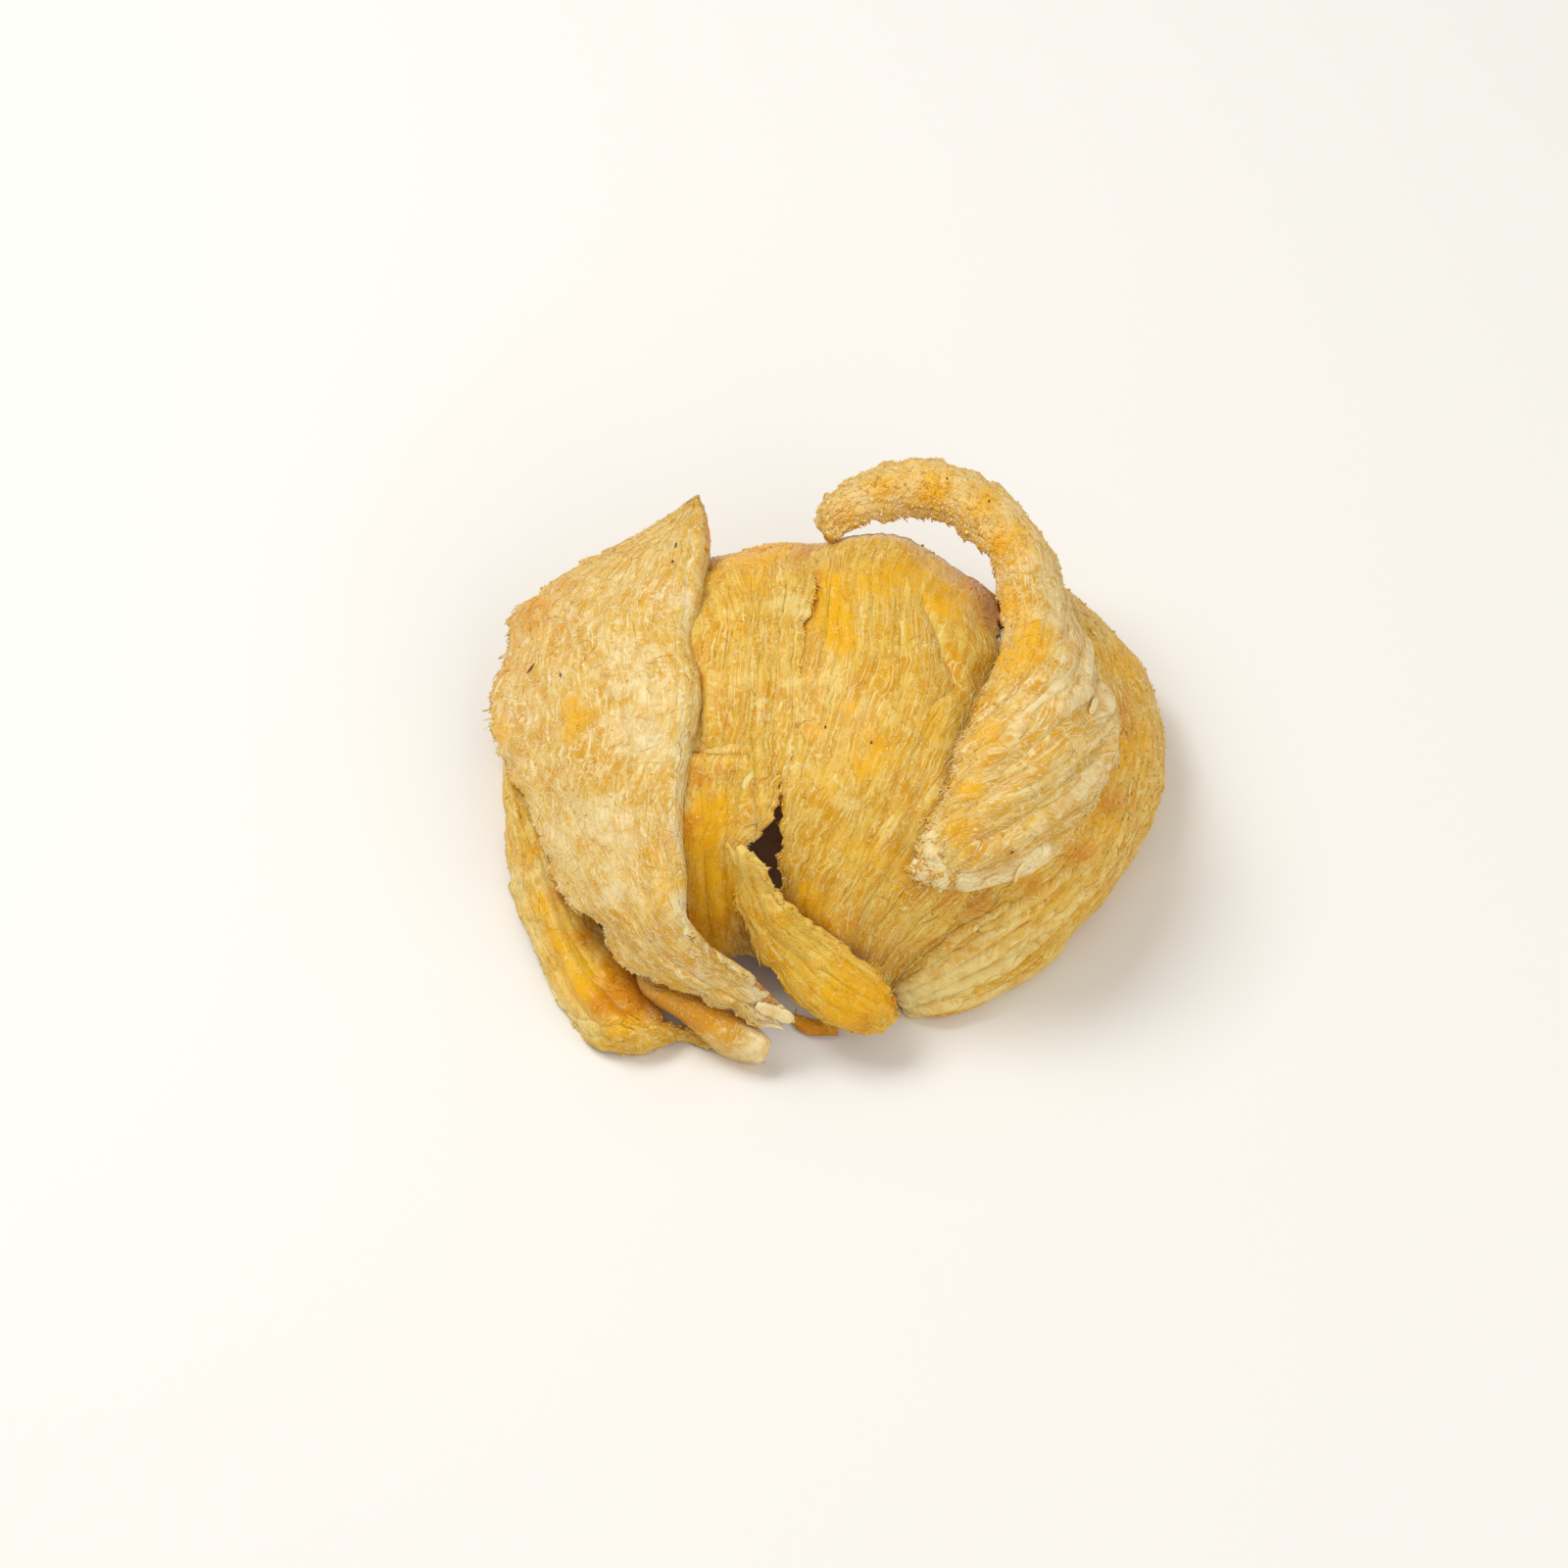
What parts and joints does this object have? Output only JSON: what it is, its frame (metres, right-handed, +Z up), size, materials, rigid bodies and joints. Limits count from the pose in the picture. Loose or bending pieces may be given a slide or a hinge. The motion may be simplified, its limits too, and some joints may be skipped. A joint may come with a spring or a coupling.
{
  "type": "edible birds nest",
  "caption": "Dried edible bird's nest: a low mound of overlapping curved sheets of hardened golden strands, with a curled rim over one side.",
  "frame": {"origin": "under the middle of the nest, on the surface that it lies on", "axes": "+Z up, -Y towards the viewer of the picture, +X to the viewer's right"},
  "size_m": [0.1182, 0.1056, 0.0478],
  "materials": {
    "cream": "dried strands, satin",
    "golden": "dried strands, satin",
    "amber": "dried strands, satin and slightly clear"
  },
  "bodies": {
    "root": {"centre_dome": "golden", "right_cup": "golden", "left_cup": "golden", "ribbed_band": "golden", "left_wing": "cream", "left_foot": "cream", "curled_wing": "cream", "front_tongue": "amber", "under_scrap": "amber"}
  },
  "joints": []
}
